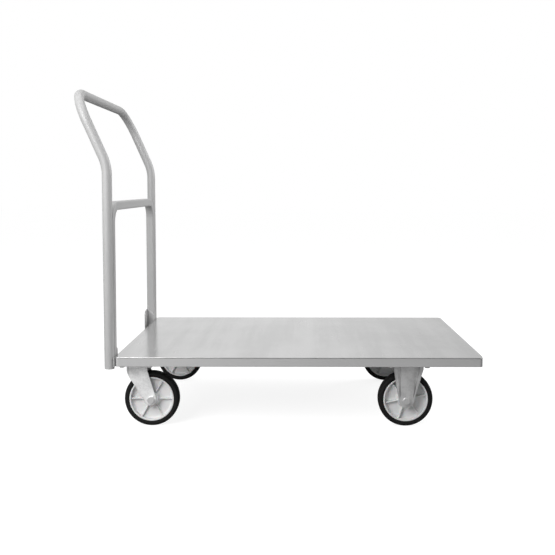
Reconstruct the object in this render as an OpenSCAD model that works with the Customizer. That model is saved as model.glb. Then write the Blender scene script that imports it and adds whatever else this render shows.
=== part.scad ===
// Flatbed platform truck: a sheet deck on a channel frame, a bolted push handle,
// two swivel casters under the handle end and two fixed casters under the other end.
// +X runs from the handle to the free end, +Y to the pusher's left, +Z up from the floor.

/* [Deck] */
// Length of the deck sheet
deck_l = 1050; // [850:10:1400]
// Width of the deck sheet
deck_w = 700; // [580:10:900]
// Thickness of the deck sheet
sheet_t = 2; // [1:0.5:4]
// Corner radius of the deck sheet and the frame under it, in plan
corner_r = 12; // [5:1:20]
// How far the sheet stands out past the frame all round
sheet_overhang = 1.5; // [0.5:0.5:3]

/* [Frame] */
// Height of the frame channels
frame_h = 25; // [22:1:45]
// Width of the frame channels, seen from above
rail_w = 25; // [22:1:32]
// Wall thickness of the frame channels
rail_t = 2.5; // [1.5:0.5:3.5]
// Number of plain cross members between the two pairs of casters
plain_members = 2; // [1:1:3]

/* [Handle] */
// Outer diameter of the handle tube
tube_d = 28; // [24:1:34]
// Wall thickness of the handle tube
tube_t = 2; // [1.5:0.5:3]
// Height of the backward bend above the deck
bend_rise = 545; // [480:5:650]
// Slanted length from that bend to the grip
lean_l = 227; // [190:1:280]
// Backward lean of the upper handle, in degrees
lean_angle = 24; // [10:1:32]
// Centreline radius of the backward bend
bend_r = 130; // [80:5:180]
// Centreline radius of the two upper corners
grip_corner_r = 94; // [60:2:110]
// How far the uprights reach below the frame
upright_drop = 8; // [0:1:20]
// Height of the inner hoop's top face above the deck
hoop_rise = 442; // [300:5:450]
// Face width of the inner hoop's box section
hoop_w = 26; // [20:1:32]
// Depth of the inner hoop's box section, along the deck
hoop_depth = 26; // [20:1:28]
// Wall thickness of the inner hoop
hoop_t = 2; // [1.5:0.5:3]
// Edge rounding of the inner hoop's box section
hoop_edge_r = 4; // [3:0.5:6]
// Centreline radius of the hoop's upper corners
hoop_corner_r = 55; // [40:1:80]

/* [Handle Feet] */
// Length of each foot plate across the frame's end, from the deck's side
foot_l = 175; // [160:1:190]
// Thickness of the foot plates and gussets
foot_t = 3; // [2:0.5:5]
// Width of the gusset's rear web
gusset_w = 45; // [30:1:60]
// Height of the gusset's peak above the deck
gusset_rise = 40; // [25:1:60]
// Height of the gusset's front corner above the deck
gusset_front_rise = 16; // [5:1:24]
// Spacing of the two handle bolts on each side
handle_bolt_pitch = 20; // [18:1:26]
// Distance from the foot plate's inner end to its first bolt
handle_bolt_edge = 15; // [12:1:18]

/* [Casters] */
// Distance from the deck's side to the middle of each wheel
caster_inset = 75; // [72:1:90]
// Height from the top of the wheel to the underside of the frame
head_h = 28; // [27:1:40]
// Distance from the deck's free end to the fixed casters' axle
fixed_inset = 213; // [140:1:260]
// Distance that a swivel caster's axle trails behind its kingpin
trail = 40; // [34:1:44]
// Length of the square mounting plates
plate_l = 105; // [100:1:110]
// Thickness of the mounting plates
plate_t = 4; // [3:0.5:6]
// Bolt spacing of a swivel plate, both ways, and of a fixed plate across the deck
plate_pitch = 80; // [80:1:84]
// Length of the fixed caster's mounting plate along the deck
fixed_plate_l = 140; // [136:1:150]
// Bolt spacing along the fixed caster's plate
fixed_pitch = 105; // [105:1:112]
// Distance from the fixed axle forward to the middle of its plate
bracket_offset = 6; // [0:0.5:8]
// Thickness of the fork and bracket sheet
fork_t = 3; // [2.5:0.5:4]
// Radius of the fork's rounded lower ends
fork_end_r = 15.5; // [15:0.5:20]
// Radius of the fork's rounded front, in plan
fork_front_r = 35; // [34:0.5:38]
// Half width of the fixed bracket's wings at the top
wing_half_w = 43; // [36:1:44]
// Depth of the pressed rib and the turned edges of the fixed bracket
rib_depth = 7; // [3:0.5:8]
// Half width of the fixed bracket's pressed rib
rib_half_w = 20; // [17:0.5:22]
// Width of the fixed bracket's side flanges at the top
flange_w = 11; // [6:0.5:14]

/* [Wheels] */
// Diameter over the tyre
wheel_d = 160; // [140:1:200]
// Width of the tyre
tyre_w = 36; // [30:1:42]
// Radial thickness of the tyre
tyre_t = 15; // [10:0.5:20]
// Radius of the tyre's shoulders
shoulder_r = 8; // [4:0.5:9]
// Length of the hub
hub_w = 46; // [44:1:50]
// Outer radius of the hub
hub_r = 18; // [16:0.5:22]
// Number of ribs on each side of the wheel's web
rib_count = 6; // [3:1:12]
// Thickness of the core's ribs
wheel_rib_t = 3.5; // [2.5:0.5:6]
// Angle at which the fixed wheels' ribs stand at rest
fixed_rib_turn = 11; // [0:1:59]
// Diameter of the axle bolts
axle_d = 12; // [10:1:13]
// Outer diameter of the spacer tube on each axle
spacer_d = 16; // [15:0.5:18]
// Outer diameter of the hub bush
bush_d = 24; // [22:0.5:28]

/* [Fits] */
// Radial running clearance of the hub bush on its spacer tube
run_gap = 0.05; // [0.02:0.01:0.09]
// Radial gap of a bolt in the hole it passes through
hole_gap = 0.5; // [0.3:0.1:0.8]
// Gap between a thread and its nut, and between pressed or bonded round faces
snug_gap = 0.05; // [0.03:0.01:0.1]
// Side gap between the hub and the fork
side_gap = 1; // [0.5:0.1:2]
// Gap of a ball in its groove, and between welded round and flat faces
seat_gap = 0.2; // [0.1:0.05:0.3]

/* [Hidden] */

$fn = 64;
LEFT = 1;
RIGHT = -1;
SIDES = [LEFT, RIGHT];

// Heights
wheel_r = wheel_d / 2;
frame_z = wheel_d + head_h;
frame_top_z = frame_z + frame_h;
deck_z = frame_top_z + sheet_t;

// Handle, measured along the deck from its rear edge
upright_x_from_edge = sheet_overhang - foot_t - seat_gap - tube_d / 2;
grip_x_from_edge = upright_x_from_edge - lean_l * sin(lean_angle);
handle_reach = tube_d / 2 - grip_x_from_edge;

// Stations along the deck, with the origin in the middle of the whole object
rear_x = (handle_reach - deck_l) / 2;
front_x = rear_x + deck_l;
frame_rear_x = rear_x + sheet_overhang;
frame_front_x = front_x - sheet_overhang;
frame_l = frame_front_x - frame_rear_x;
frame_w = deck_w - 2 * sheet_overhang;
frame_mid_x = (frame_rear_x + frame_front_x) / 2;
rail_inside_y = frame_w / 2 - rail_w;
frame_corner_r = max(corner_r - sheet_overhang, rail_t + 1);
upright_x = rear_x + upright_x_from_edge;
upright_y = deck_w / 2 - tube_d / 2;
bend_z = deck_z + bend_rise;
bend_tangent = bend_r * tan(lean_angle / 2);
bend_thinning = 0.1;
mitre_reach = 20;
gusset_nose = 7.5;
hoop_outer_y = deck_w / 2 - tube_d - seat_gap;
hoop_y = hoop_outer_y - hoop_w / 2;
gusset_y = hoop_outer_y - hoop_w;
foot_inner_y = deck_w / 2 - foot_l;

// Casters: the rear mounting bolts pass through the middle of the end rail's lower flange
caster_y = deck_w / 2 - caster_inset;
swivel_x = frame_rear_x + (rail_w + rail_t) / 2 + plate_pitch / 2;
swivel_axle_x = swivel_x + trail;
fixed_x = front_x - fixed_inset;
fixed_plate_x = fixed_x + bracket_offset;
plate_corner_r = 8;
rear_member_x = swivel_x + plate_pitch / 2 + rail_t / 2;
front_member_a_x = fixed_plate_x - fixed_pitch / 2 - rail_t / 2;
front_member_b_x = fixed_plate_x + fixed_pitch / 2 + rail_t / 2;
member_step = (front_member_a_x - rear_member_x) / (plain_members + 1);

// Swivel head, from the mounting plate downwards
plate_bottom_z = frame_z - plate_t;
ball_d = 6;
race_gap = ball_d / 2;
race_ring_t = 2.5;
race_ring_r = 33;
crown_top_z = plate_bottom_z - race_ring_t - race_gap;
crown_bottom_z = crown_top_z - fork_t;
upper_ball_z = crown_top_z + race_gap / 2;
lower_ball_z = crown_bottom_z - race_gap / 2;
upper_ball_r = 23.5;
lower_ball_r = 16.5;
lower_race_r = 21.5;
lower_race_t = 3;
lower_race_z = crown_bottom_z - race_gap - lower_race_t;
kingpin_d = 12;
kingpin_head_r = 11;
kingpin_head_h = 5;
kingpin_head_taper = 2;

// Forks and wheels
fork_gap_w = hub_w + 2 * side_gap;
fork_half_w = fork_gap_w / 2 + fork_t;
fork_rear_x = 30;
fork_shoulder_z = crown_top_z - 13;
bracket_shoulder_z = plate_bottom_z - 11;
flange_foot_w = 2.5;
swivel_grip = fork_half_w;
fixed_grip = fork_half_w + rib_depth;
wheel_clear = 3.5;
rim_r = wheel_r - tyre_t;
rim_t = 5;
rim_w = tyre_w - 1;
rim_lip_t = 2;
web_t = 8;
wheel_rib_inset = 4;
hub_cone = 3;

// Fasteners
axle_af = 19;
axle_head_h = 7;
axle_nut_h = 10;
bolt_d = 8;
bolt_af = 13;
bolt_head_h = 5.3;
bolt_nut_h = 6.5;
thread_end = 2;
thread_chamfer = 1;
thread_core = 1.5;
kingpin_af = 19;
kingpin_nut_h = 7;

steel_paint = [0.72, 0.73, 0.73];
stainless = [0.80, 0.80, 0.79];
zinc = [0.84, 0.85, 0.86];
dark_steel = [0.35, 0.35, 0.36];
wheel_plastic = [0.82, 0.82, 0.80];
bush_plastic = [0.93, 0.92, 0.88];
black_rubber = [0.08, 0.08, 0.08];

// Tangent point of the line from p to the circle at c; turn is +1 or -1
function tangent_point(p, c, r, turn) =
    let (
        gap = p - c,
        aim = atan2(gap.y, gap.x),
        swing = acos(r / norm(gap))
    )
    c + r * [cos(aim + turn * swing), sin(aim + turn * swing)];

// ---------- Shared shapes ----------

// Rectangle with round corners, centred
module rounded_rect(l, w, r) {
    square([l - 2 * r, w], center = true);
    square([l, w - 2 * r], center = true);
    for (x = [-1, 1], y = [-1, 1])
        translate([x * (l / 2 - r), y * (w / 2 - r)])
            circle(r);
}

// Six-sided prism with a chamfered outer face, standing on z = 0
module hex_prism(across, h) {
    corner_radius = across / sqrt(3);
    intersection() {
        cylinder(r = corner_radius, h = h, $fn = 6);
        union() {
            cylinder(r = corner_radius + 1, h = h * 0.8);
            translate([0, 0, h * 0.8])
                cylinder(r1 = corner_radius + 0.1, r2 = across / 2, h = h * 0.2);
        }
    }
}

// Hex bolt: head below z = 0, shank from z = 0 upwards
module hex_bolt(d, shank, across, head) {
    mirror([0, 0, 1])
        hex_prism(across, head);
    cylinder(d = d, h = shank - thread_chamfer);
    translate([0, 0, shank - thread_chamfer])
        cylinder(d1 = d, d2 = d - thread_core, h = thread_chamfer);
}

// Hex nut standing on z = 0
module hex_nut(d, across, h) {
    difference() {
        hex_prism(across, h);
        translate([0, 0, -1])
            cylinder(r = d / 2 + snug_gap, h = h + 2);
    }
}

// Turns z into the outward direction of a wheel on the given side
module facing_out(side) {
    rotate([-90 * side, 0, 0])
        children();
}

// Places children at each bolt of a caster plate with the given spacing along X
module at_plate_bolts(pitch) {
    for (x = [-1, 1], y = [-1, 1])
        translate([x * pitch / 2, y * plate_pitch / 2])
            children();
}

// Places children at each mounting bolt of the four casters
module at_caster_bolts() {
    for (side = SIDES) {
        translate([swivel_x, side * caster_y, 0])
            at_plate_bolts(plate_pitch)
                children();
        translate([fixed_plate_x, side * caster_y, 0])
            at_plate_bolts(fixed_pitch)
                children();
    }
}

// ---------- Deck and frame ----------

module deck_sheet() {
    color(stainless)
        translate([(rear_x + front_x) / 2, 0, frame_top_z])
            linear_extrude(sheet_t)
                rounded_rect(deck_l, deck_w, corner_r);
}

// The whole channel ring, open inwards, before it is cut into rails
module frame_ring() {
    translate([frame_mid_x, 0, frame_z])
        difference() {
            linear_extrude(frame_h)
                rounded_rect(frame_l, frame_w, frame_corner_r);
            translate([0, 0, frame_h / 2])
                cube([frame_l - 2 * rail_w, frame_w - 2 * rail_w, frame_h + 2], center = true);
            translate([0, 0, rail_t])
                linear_extrude(frame_h - 2 * rail_t)
                    rounded_rect(frame_l - 2 * rail_t, frame_w - 2 * rail_t,
                                 frame_corner_r - rail_t);
        }
}

// Mitred part of the ring along one side, or across one end
module mitre_zone(along_side, sign) {
    outer = rail_w + mitre_reach;
    half_l = frame_l / 2;
    half_w = frame_w / 2;
    tip = half_w - rail_w;
    reach = half_l - rail_w;
    translate([frame_mid_x, 0, frame_z - 1])
        linear_extrude(frame_h + 2)
            if (along_side)
                polygon([
                    [-reach, sign * tip], [reach, sign * tip],
                    [reach + outer, sign * (tip + outer)], [-reach - outer, sign * (tip + outer)]
                ]);
            else
                polygon([
                    [sign * reach, -tip], [sign * reach, tip],
                    [sign * (reach + outer), tip + outer], [sign * (reach + outer), -tip - outer]
                ]);
}

module plate_bolt_holes() {
    at_caster_bolts()
        translate([0, 0, frame_z - 1])
            cylinder(r = bolt_d / 2 + hole_gap, h = rail_t + 2);
}

module side_rail(side) {
    color(steel_paint)
        intersection() {
            frame_ring();
            mitre_zone(true, side);
        }
}

module end_rail_rear() {
    color(steel_paint)
        difference() {
            intersection() {
                frame_ring();
                mitre_zone(false, -1);
            }
            plate_bolt_holes();
            at_handle_bolts()
                cylinder(r = bolt_d / 2 + hole_gap, h = foot_t + rail_t + 1);
        }
}

module end_rail_front() {
    color(steel_paint)
        intersection() {
            frame_ring();
            mitre_zone(false, 1);
        }
}

// Channel across the frame; open_to is the side its open mouth faces along X
module cross_channel(x, open_to) {
    length = 2 * rail_inside_y;
    translate([x, 0, frame_z + frame_h / 2])
        difference() {
            cube([rail_w, length, frame_h], center = true);
            translate([open_to * rail_t, 0, 0])
                cube([rail_w, length + 2, frame_h - 2 * rail_t], center = true);
        }
}

module drilled_cross_member(x, open_to) {
    color(steel_paint)
        difference() {
            cross_channel(x, open_to);
            plate_bolt_holes();
        }
}

module plain_cross_members() {
    color(steel_paint)
        for (i = [1 : plain_members])
            cross_channel(rear_member_x + i * member_step, 1);
}

// ---------- Handle ----------

// Solid rod along the whole bent handle, of the given radius; its bends are drawn a
// little slimmer, as a bent tube is
module handle_rod(r, bottom) {
    straight = lean_l - bend_tangent - grip_corner_r;
    bent_r = r - bend_thinning;
    for (side = SIDES) {
        translate([upright_x, side * upright_y, bottom])
            cylinder(r = r, h = bend_z - bend_tangent - bottom);
        translate([upright_x - bend_r, side * upright_y, bend_z - bend_tangent])
            rotate([90, 0, 0])
                rotate_extrude(angle = lean_angle, $fn = 180)
                    translate([bend_r, 0])
                        circle(bent_r);
    }
    translate([upright_x, 0, bend_z])
        rotate([0, -lean_angle, 0]) {
            for (side = SIDES) {
                translate([0, side * upright_y, bend_tangent])
                    cylinder(r = r, h = straight);
                translate([0, side * (upright_y - grip_corner_r), bend_tangent + straight])
                    mirror([0, side > 0 ? 1 : 0, 0])
                        rotate([90, 0, -90])
                            rotate_extrude(angle = 90, $fn = 96)
                                translate([grip_corner_r, 0])
                                    circle(bent_r);
            }
            translate([0, 0, lean_l])
                rotate([90, 0, 0])
                    cylinder(r = r, h = 2 * (upright_y - grip_corner_r), center = true);
        }
}

module handle_tube() {
    color(steel_paint)
        difference() {
            handle_rod(tube_d / 2, frame_z - upright_drop);
            handle_rod(tube_d / 2 - tube_t, frame_z - upright_drop - 1);
        }
}

// Solid bar along the inner hoop, shrunk all round by inset
module hoop_bar(inset, bottom) {
    w = hoop_w - 2 * inset;
    depth = hoop_depth - 2 * inset;
    edge = hoop_edge_r - inset;
    corner_z = deck_z + hoop_rise - hoop_w / 2 - hoop_corner_r;
    for (side = SIDES) {
        translate([upright_x, side * hoop_y, bottom])
            linear_extrude(corner_z - bottom)
                rounded_rect(depth, w, edge);
        translate([upright_x, side * (hoop_y - hoop_corner_r), corner_z])
            mirror([0, side > 0 ? 1 : 0, 0])
                rotate([90, 0, -90])
                    rotate_extrude(angle = 90, $fn = 96)
                        translate([hoop_corner_r, 0])
                            rounded_rect(w, depth, edge);
    }
    translate([upright_x, 0, corner_z + hoop_corner_r])
        rotate([90, 0, 0])
            linear_extrude(2 * (hoop_y - hoop_corner_r), center = true)
                rounded_rect(depth, w, edge);
}

module handle_hoop() {
    color(steel_paint)
        difference() {
            hoop_bar(0, frame_z);
            hoop_bar(hoop_t, frame_z - 1);
        }
}

// Handle bolts run along +X, from the foot plate's rear face
module at_handle_bolts(sides = SIDES) {
    for (side = sides, i = [0, 1])
        translate([
            frame_rear_x - foot_t,
            side * (foot_inner_y + handle_bolt_edge + i * handle_bolt_pitch),
            frame_z + frame_h / 2
        ])
            rotate([0, 90, 0])
                children();
}

module foot_plate(side) {
    low = foot_inner_y;
    color(steel_paint)
        difference() {
            translate([frame_rear_x - foot_t, side > 0 ? low : -low - foot_l, frame_z])
                cube([foot_t, foot_l, frame_h]);
            at_handle_bolts([side])
                translate([0, 0, -1])
                    cylinder(r = bolt_d / 2 + hole_gap, h = foot_t + 2);
        }
}

// Folded gusset: a flange on the hoop's leg with a sloped top, and a web behind it
module gusset(side) {
    back_x = upright_x - tube_d / 2;
    front_x_of_flange = frame_rear_x - foot_t;
    peak = deck_z + gusset_rise;
    color(steel_paint)
        mirror([0, side > 0 ? 0 : 1, 0]) {
            translate([0, gusset_y, 0])
                rotate([90, 0, 0])
                    linear_extrude(foot_t)
                        polygon([
                            [back_x, frame_z], [front_x_of_flange, frame_z],
                            [front_x_of_flange, deck_z + gusset_front_rise],
                            [back_x + foot_t, peak], [back_x, peak]
                        ]);
            translate([back_x + foot_t, gusset_y, 0])
                rotate([90, 0, -90])
                    linear_extrude(foot_t)
                        polygon([
                            [0, frame_z], [gusset_w, frame_z], [gusset_w, peak - 2 * gusset_nose],
                            [gusset_w - gusset_nose, peak - gusset_nose / 2], [foot_t, peak], [0, peak]
                        ]);
        }
}

module handle_bolts() {
    color(zinc)
        at_handle_bolts()
            hex_bolt(bolt_d, foot_t + rail_t + bolt_nut_h + thread_end, bolt_af, bolt_head_h);
}

module handle_nuts() {
    color(zinc)
        at_handle_bolts()
            translate([0, 0, foot_t + rail_t])
                hex_nut(bolt_d, bolt_af, bolt_nut_h);
}

// ---------- Caster mountings ----------

module caster_bolts() {
    color(zinc)
        at_caster_bolts()
            translate([0, 0, plate_bottom_z])
                hex_bolt(bolt_d, plate_t + rail_t + bolt_nut_h + thread_end, bolt_af, bolt_head_h);
}

module caster_nuts() {
    color(zinc)
        at_caster_bolts()
            translate([0, 0, frame_z + rail_t])
                hex_nut(bolt_d, bolt_af, bolt_nut_h);
}

// Mounting plate with its four holes, at its own middle
module mounting_plate(length, pitch) {
    difference() {
        translate([0, 0, plate_bottom_z])
            linear_extrude(plate_t)
                rounded_rect(length, plate_l, plate_corner_r);
        at_plate_bolts(pitch)
            translate([0, 0, plate_bottom_z - 1])
                cylinder(r = bolt_d / 2 + hole_gap, h = plate_t + 2);
    }
}

// ---------- Swivel casters ----------

// Ring of balls' groove, as a solid torus
module ball_groove(path_r, z) {
    translate([0, 0, z])
        rotate_extrude($fn = 96)
            translate([path_r, 0])
                circle(ball_d / 2 + seat_gap);
}

module swivel_plate(side) {
    color(zinc)
        translate([swivel_x, side * caster_y, 0])
            difference() {
                union() {
                    mounting_plate(plate_l, plate_pitch);
                    translate([0, 0, plate_bottom_z - race_ring_t])
                        cylinder(r = race_ring_r, h = race_ring_t + 1);
                }
                ball_groove(upper_ball_r, upper_ball_z);
                translate([0, 0, plate_bottom_z - race_ring_t - 1])
                    cylinder(r = kingpin_d / 2 + snug_gap, h = plate_t + race_ring_t + 2);
            }
}

module ball_row(path_r, z) {
    count = floor(360 / (2 * asin((ball_d / 2 + seat_gap) / path_r)));
    for (i = [0 : count - 1])
        rotate([0, 0, i * 360 / count])
            translate([path_r, 0, z])
                sphere(d = ball_d, $fn = 32);
}

module swivel_balls(side) {
    color(dark_steel)
        translate([swivel_x, side * caster_y, 0]) {
            ball_row(upper_ball_r, upper_ball_z);
            ball_row(lower_ball_r, lower_ball_z);
        }
}

module swivel_race(side) {
    color(dark_steel)
        translate([swivel_x, side * caster_y, 0])
            difference() {
                translate([0, 0, lower_race_z])
                    cylinder(r = lower_race_r, h = lower_race_t);
                ball_groove(lower_ball_r, lower_ball_z);
                translate([0, 0, lower_race_z - 1])
                    cylinder(r = kingpin_d / 2 + snug_gap, h = lower_race_t + 2);
            }
}

module kingpin(side) {
    top_z = frame_z + kingpin_nut_h + thread_end;
    color(zinc)
        translate([swivel_x, side * caster_y, 0]) {
            translate([0, 0, lower_race_z])
                cylinder(d = kingpin_d, h = top_z - lower_race_z);
            translate([0, 0, lower_race_z - kingpin_head_h])
                cylinder(r1 = kingpin_head_r - kingpin_head_taper, r2 = kingpin_head_r,
                         h = kingpin_head_h);
        }
}

module kingpin_nut(side) {
    color(zinc)
        translate([swivel_x, side * caster_y, frame_z])
            hex_nut(kingpin_d, kingpin_af, kingpin_nut_h);
}

// Side outline of the fork, in X and Z from the kingpin
module fork_outline() {
    axle = [trail, wheel_r];
    front = [-fork_front_r - 1, fork_shoulder_z];
    back = [fork_rear_x, fork_shoulder_z];
    polygon([
        [front.x, crown_top_z],
        front,
        tangent_point(front, axle, fork_end_r, 1),
        axle,
        tangent_point(back, axle, fork_end_r, -1),
        back,
        [back.x, crown_top_z]
    ]);
    translate(axle)
        circle(fork_end_r);
}

// Plan outline of the fork, round at the front; inset shrinks it all round
module fork_plan(inset) {
    half = fork_half_w - inset;
    intersection() {
        circle(fork_front_r - inset, $fn = 96);
        square([4 * fork_front_r, 2 * half], center = true);
    }
    translate([0, -half])
        square([trail + wheel_r, 2 * half]);
}

// Both legs and the round wall that joins them at the front
module fork_walls() {
    intersection() {
        linear_extrude(crown_top_z)
            difference() {
                fork_plan(0);
                fork_plan(fork_t);
            }
        rotate([90, 0, 0])
            linear_extrude(2 * fork_half_w + 2, center = true)
                fork_outline();
    }
}

module fork_crown() {
    translate([0, 0, crown_bottom_z])
        linear_extrude(fork_t)
            intersection() {
                fork_plan(0);
                translate([-fork_front_r, -fork_half_w])
                    square([fork_front_r + fork_rear_x, 2 * fork_half_w]);
            }
}

module fork(side) {
    color(zinc)
        translate([swivel_x, side * caster_y, 0])
            difference() {
                union() {
                    fork_walls();
                    fork_crown();
                }
                translate([trail, 0, wheel_r])
                    rotate([90, 0, 0])
                        cylinder(r = wheel_r + wheel_clear, h = fork_gap_w, center = true);
                ball_groove(upper_ball_r, upper_ball_z);
                ball_groove(lower_ball_r, lower_ball_z);
                translate([0, 0, crown_bottom_z - 1])
                    cylinder(r = kingpin_d / 2 + hole_gap, h = fork_t + 2);
                translate([trail, 0, wheel_r])
                    rotate([90, 0, 0])
                        cylinder(r = axle_d / 2 + snug_gap, h = 4 * fork_half_w, center = true);
            }
}

// ---------- Fixed casters ----------

// Side outline of the bracket's leg, in X and Z from the axle's X
module bracket_outline(half_top, end_r) {
    axle = [0, wheel_r];
    rear = [bracket_offset - half_top, bracket_shoulder_z];
    front = [bracket_offset + half_top, bracket_shoulder_z];
    polygon([
        [rear.x, plate_bottom_z],
        rear,
        tangent_point(rear, axle, end_r, 1),
        axle,
        tangent_point(front, axle, end_r, -1),
        front,
        [front.x, plate_bottom_z]
    ]);
    translate(axle)
        circle(end_r);
}

// Raised middle of the leg: a rib that leans forward and ends in a round boss
module rib_outline(end_r) {
    rear_x = bracket_offset / 2 - rib_half_w;
    polygon([
        [rear_x, wheel_r], [rib_half_w, wheel_r],
        [rib_half_w + bracket_offset / 2, plate_bottom_z], [rear_x, plate_bottom_z]
    ]);
    translate([0, wheel_r])
        circle(end_r);
}

// One leg, standing outwards from y = 0, with its rib, side flanges and hollow rib back
module bracket_leg() {
    end_r = rib_half_w + 1;
    boss_top_z = wheel_r + end_r + 2;
    hollow_rear_x = bracket_offset / 2 - rib_half_w + fork_t;
    hollow_l = rib_half_w - fork_t - hollow_rear_x;
    mirror([0, 1, 0])
        rotate([90, 0, 0])
            difference() {
                union() {
                    linear_extrude(fork_t)
                        bracket_outline(wing_half_w, end_r);
                    linear_extrude(fork_t + rib_depth)
                        rib_outline(end_r);
                    linear_extrude(fork_t + rib_depth)
                        difference() {
                            bracket_outline(wing_half_w, end_r);
                            bracket_outline(wing_half_w - flange_w, end_r - flange_foot_w);
                        }
                }
                translate([hollow_rear_x, boss_top_z, -1])
                    cube([hollow_l, plate_bottom_z - boss_top_z, rib_depth + 1]);
            }
}

module fixed_bracket(side) {
    color(zinc)
        translate([fixed_x, side * caster_y, 0])
            difference() {
                union() {
                    translate([bracket_offset, 0, 0])
                        mounting_plate(fixed_plate_l, fixed_pitch);
                    for (face = SIDES)
                        mirror([0, face > 0 ? 0 : 1, 0])
                            translate([0, fork_gap_w / 2, 0])
                                bracket_leg();
                }
                translate([0, 0, wheel_r])
                    rotate([90, 0, 0])
                        cylinder(r = axle_d / 2 + snug_gap, h = 2 * fixed_grip + 2, center = true);
            }
}

// ---------- Axles and wheels ----------

// Places children at a wheel's centre, with z pointing outwards
module at_wheel(x, side) {
    translate([x, side * caster_y, wheel_r])
        facing_out(side)
            children();
}

// grip_half is half the thickness that the bolt clamps
module axle_bolt(x, side, grip_half) {
    color(zinc)
        at_wheel(x, side)
            translate([0, 0, grip_half])
                mirror([0, 0, 1])
                    hex_bolt(axle_d, 2 * grip_half + axle_nut_h + thread_end, axle_af,
                             axle_head_h);
}

module axle_nut(x, side, grip_half) {
    color(zinc)
        at_wheel(x, side)
            translate([0, 0, -grip_half])
                mirror([0, 0, 1])
                    hex_nut(axle_d, axle_af, axle_nut_h);
}

module spacer(x, side) {
    color(dark_steel)
        at_wheel(x, side)
            difference() {
                cylinder(d = spacer_d, h = fork_gap_w, center = true);
                cylinder(r = axle_d / 2 + snug_gap, h = fork_gap_w + 2, center = true);
            }
}

module bush(x, side) {
    color(bush_plastic)
        at_wheel(x, side)
            difference() {
                cylinder(d = bush_d, h = hub_w, center = true);
                cylinder(r = spacer_d / 2 + run_gap, h = hub_w + 2, center = true);
            }
}

// Half section of the wheel's core: hub, web and rim with its lips
module core_section() {
    bore_r = bush_d / 2 + snug_gap;
    outer_r = rim_r - snug_gap;
    half_rim = rim_w / 2;
    translate([bore_r, -hub_w / 2])
        square([hub_r - bore_r, hub_w]);
    polygon([
        [hub_r - 1, -hub_w / 2 + hub_cone], [hub_r + hub_cone, -half_rim + hub_cone],
        [hub_r + hub_cone, half_rim - hub_cone], [hub_r - 1, hub_w / 2 - hub_cone]
    ]);
    translate([hub_r, -web_t / 2])
        square([outer_r - hub_r, web_t]);
    translate([outer_r - rim_t, -half_rim])
        square([rim_t, rim_w]);
    for (y = [-1, 1])
        translate([outer_r - rim_t - rim_lip_t, y * (half_rim - 1) - 1])
            square([rim_lip_t + 1, 2]);
}

// rib_turn is the angle at which the first rib stands
module wheel_core(x, side, rib_turn) {
    rib_l = rim_r - rim_t - hub_r;
    rib_h = rim_w - 2 * wheel_rib_inset;
    color(wheel_plastic)
        at_wheel(x, side)
            rotate([0, 0, rib_turn]) {
                rotate_extrude($fn = 128)
                    core_section();
                for (i = [0 : rib_count - 1])
                    rotate([0, 0, i * 360 / rib_count])
                        translate([hub_r + rib_l / 2, 0, 0])
                            cube([rib_l + 2, wheel_rib_t, rib_h], center = true);
            }
}

module tyre_section() {
    half_w = tyre_w / 2;
    translate([rim_r, -half_w])
        square([tyre_t - shoulder_r, tyre_w]);
    translate([rim_r, -half_w + shoulder_r])
        square([tyre_t, tyre_w - 2 * shoulder_r]);
    for (y = [-1, 1])
        intersection() {
            translate([wheel_r - shoulder_r, y * (half_w - shoulder_r)])
                circle(shoulder_r);
            translate([rim_r, -half_w])
                square([tyre_t, tyre_w]);
        }
}

module tyre(x, side) {
    color(black_rubber)
        at_wheel(x, side)
            rotate_extrude($fn = 128)
                tyre_section();
}

deck_sheet();
side_rail(LEFT);  // side_rail_left
side_rail(RIGHT);  // side_rail_right
end_rail_rear();
end_rail_front();
drilled_cross_member(rear_member_x, -1);  // cross_member_rear
plain_cross_members();
drilled_cross_member(front_member_a_x, 1);  // cross_member_front_a
drilled_cross_member(front_member_b_x, -1);  // cross_member_front_b
handle_tube();
handle_hoop();
foot_plate(LEFT);  // foot_plate_left
foot_plate(RIGHT);  // foot_plate_right
gusset(LEFT);  // gusset_left
gusset(RIGHT);  // gusset_right
handle_bolts();
handle_nuts();
caster_bolts();
caster_nuts();

swivel_plate(LEFT);  // swivel_plate_left
swivel_balls(LEFT);  // swivel_balls_left
swivel_race(LEFT);  // swivel_race_left
kingpin(LEFT);  // kingpin_left
kingpin_nut(LEFT);  // kingpin_nut_left
fork(LEFT);  // fork_left
axle_bolt(swivel_axle_x, LEFT, swivel_grip);  // axle_bolt_swivel_left
axle_nut(swivel_axle_x, LEFT, swivel_grip);  // axle_nut_swivel_left
spacer(swivel_axle_x, LEFT);  // spacer_swivel_left
bush(swivel_axle_x, LEFT);  // bush_swivel_left
wheel_core(swivel_axle_x, LEFT, 0);  // wheel_core_swivel_left
tyre(swivel_axle_x, LEFT);  // tyre_swivel_left

swivel_plate(RIGHT);  // swivel_plate_right
swivel_balls(RIGHT);  // swivel_balls_right
swivel_race(RIGHT);  // swivel_race_right
kingpin(RIGHT);  // kingpin_right
kingpin_nut(RIGHT);  // kingpin_nut_right
fork(RIGHT);  // fork_right
axle_bolt(swivel_axle_x, RIGHT, swivel_grip);  // axle_bolt_swivel_right
axle_nut(swivel_axle_x, RIGHT, swivel_grip);  // axle_nut_swivel_right
spacer(swivel_axle_x, RIGHT);  // spacer_swivel_right
bush(swivel_axle_x, RIGHT);  // bush_swivel_right
wheel_core(swivel_axle_x, RIGHT, 0);  // wheel_core_swivel_right
tyre(swivel_axle_x, RIGHT);  // tyre_swivel_right

fixed_bracket(LEFT);  // fixed_bracket_left
axle_bolt(fixed_x, LEFT, fixed_grip);  // axle_bolt_fixed_left
axle_nut(fixed_x, LEFT, fixed_grip);  // axle_nut_fixed_left
spacer(fixed_x, LEFT);  // spacer_fixed_left
bush(fixed_x, LEFT);  // bush_fixed_left
wheel_core(fixed_x, LEFT, -fixed_rib_turn);  // wheel_core_fixed_left
tyre(fixed_x, LEFT);  // tyre_fixed_left

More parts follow.
